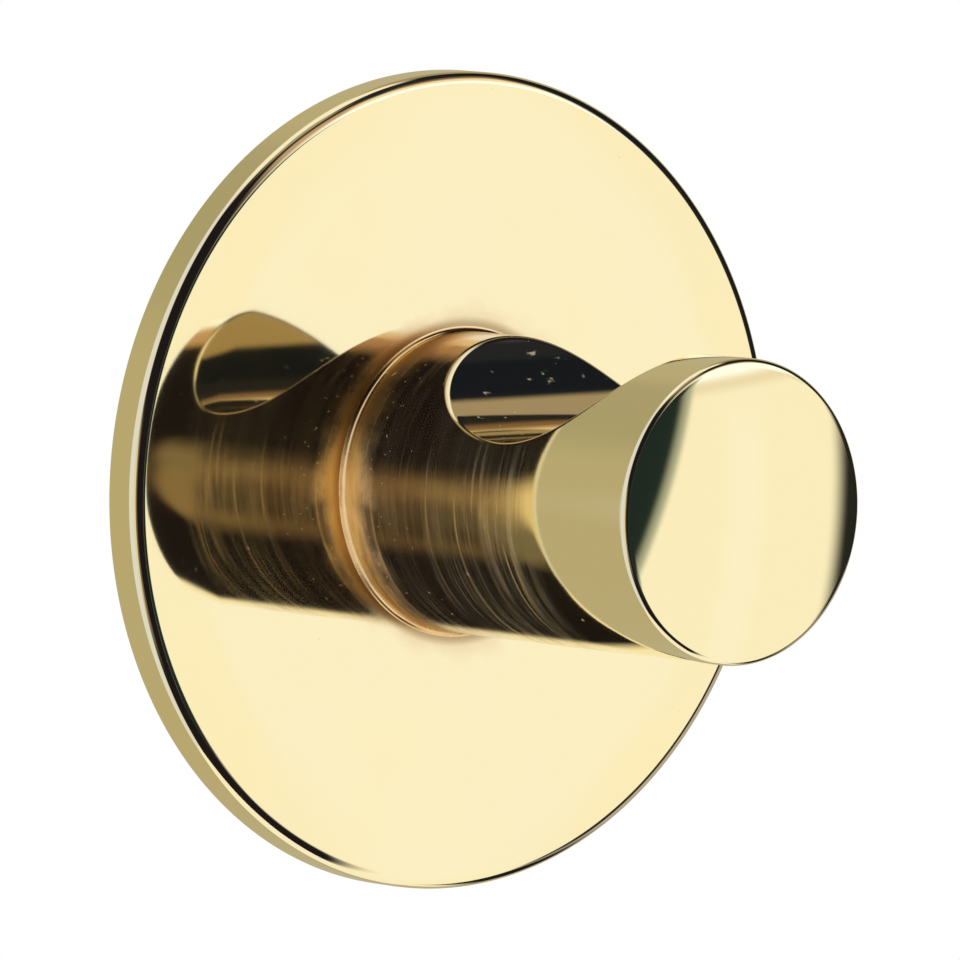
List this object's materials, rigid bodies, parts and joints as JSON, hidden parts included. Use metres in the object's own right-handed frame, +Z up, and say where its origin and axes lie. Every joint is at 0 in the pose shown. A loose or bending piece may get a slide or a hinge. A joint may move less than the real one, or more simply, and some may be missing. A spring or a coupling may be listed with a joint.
{
  "type": "bath hook",
  "caption": "Polished brass wall hook: a round plate carries a short round peg with a wide saddle notch across its top, and a screw at its back.",
  "frame": {"origin": "centre of the plate's back face, in the plane of the wall", "axes": "+Y into the wall along the peg's axis, +Z up through the notch, +X to the right seen from the room"},
  "size_m": [0.05, 0.0603, 0.05],
  "materials": {
    "rose_plate": "mirror polish",
    "peg": "mirror polish with fine turning marks",
    "wall_screw": "bright zinc plate"
  },
  "bodies": {
    "root": {"rose_plate": "rose_plate", "peg": "peg", "wall_screw": "wall_screw"}
  },
  "joints": []
}
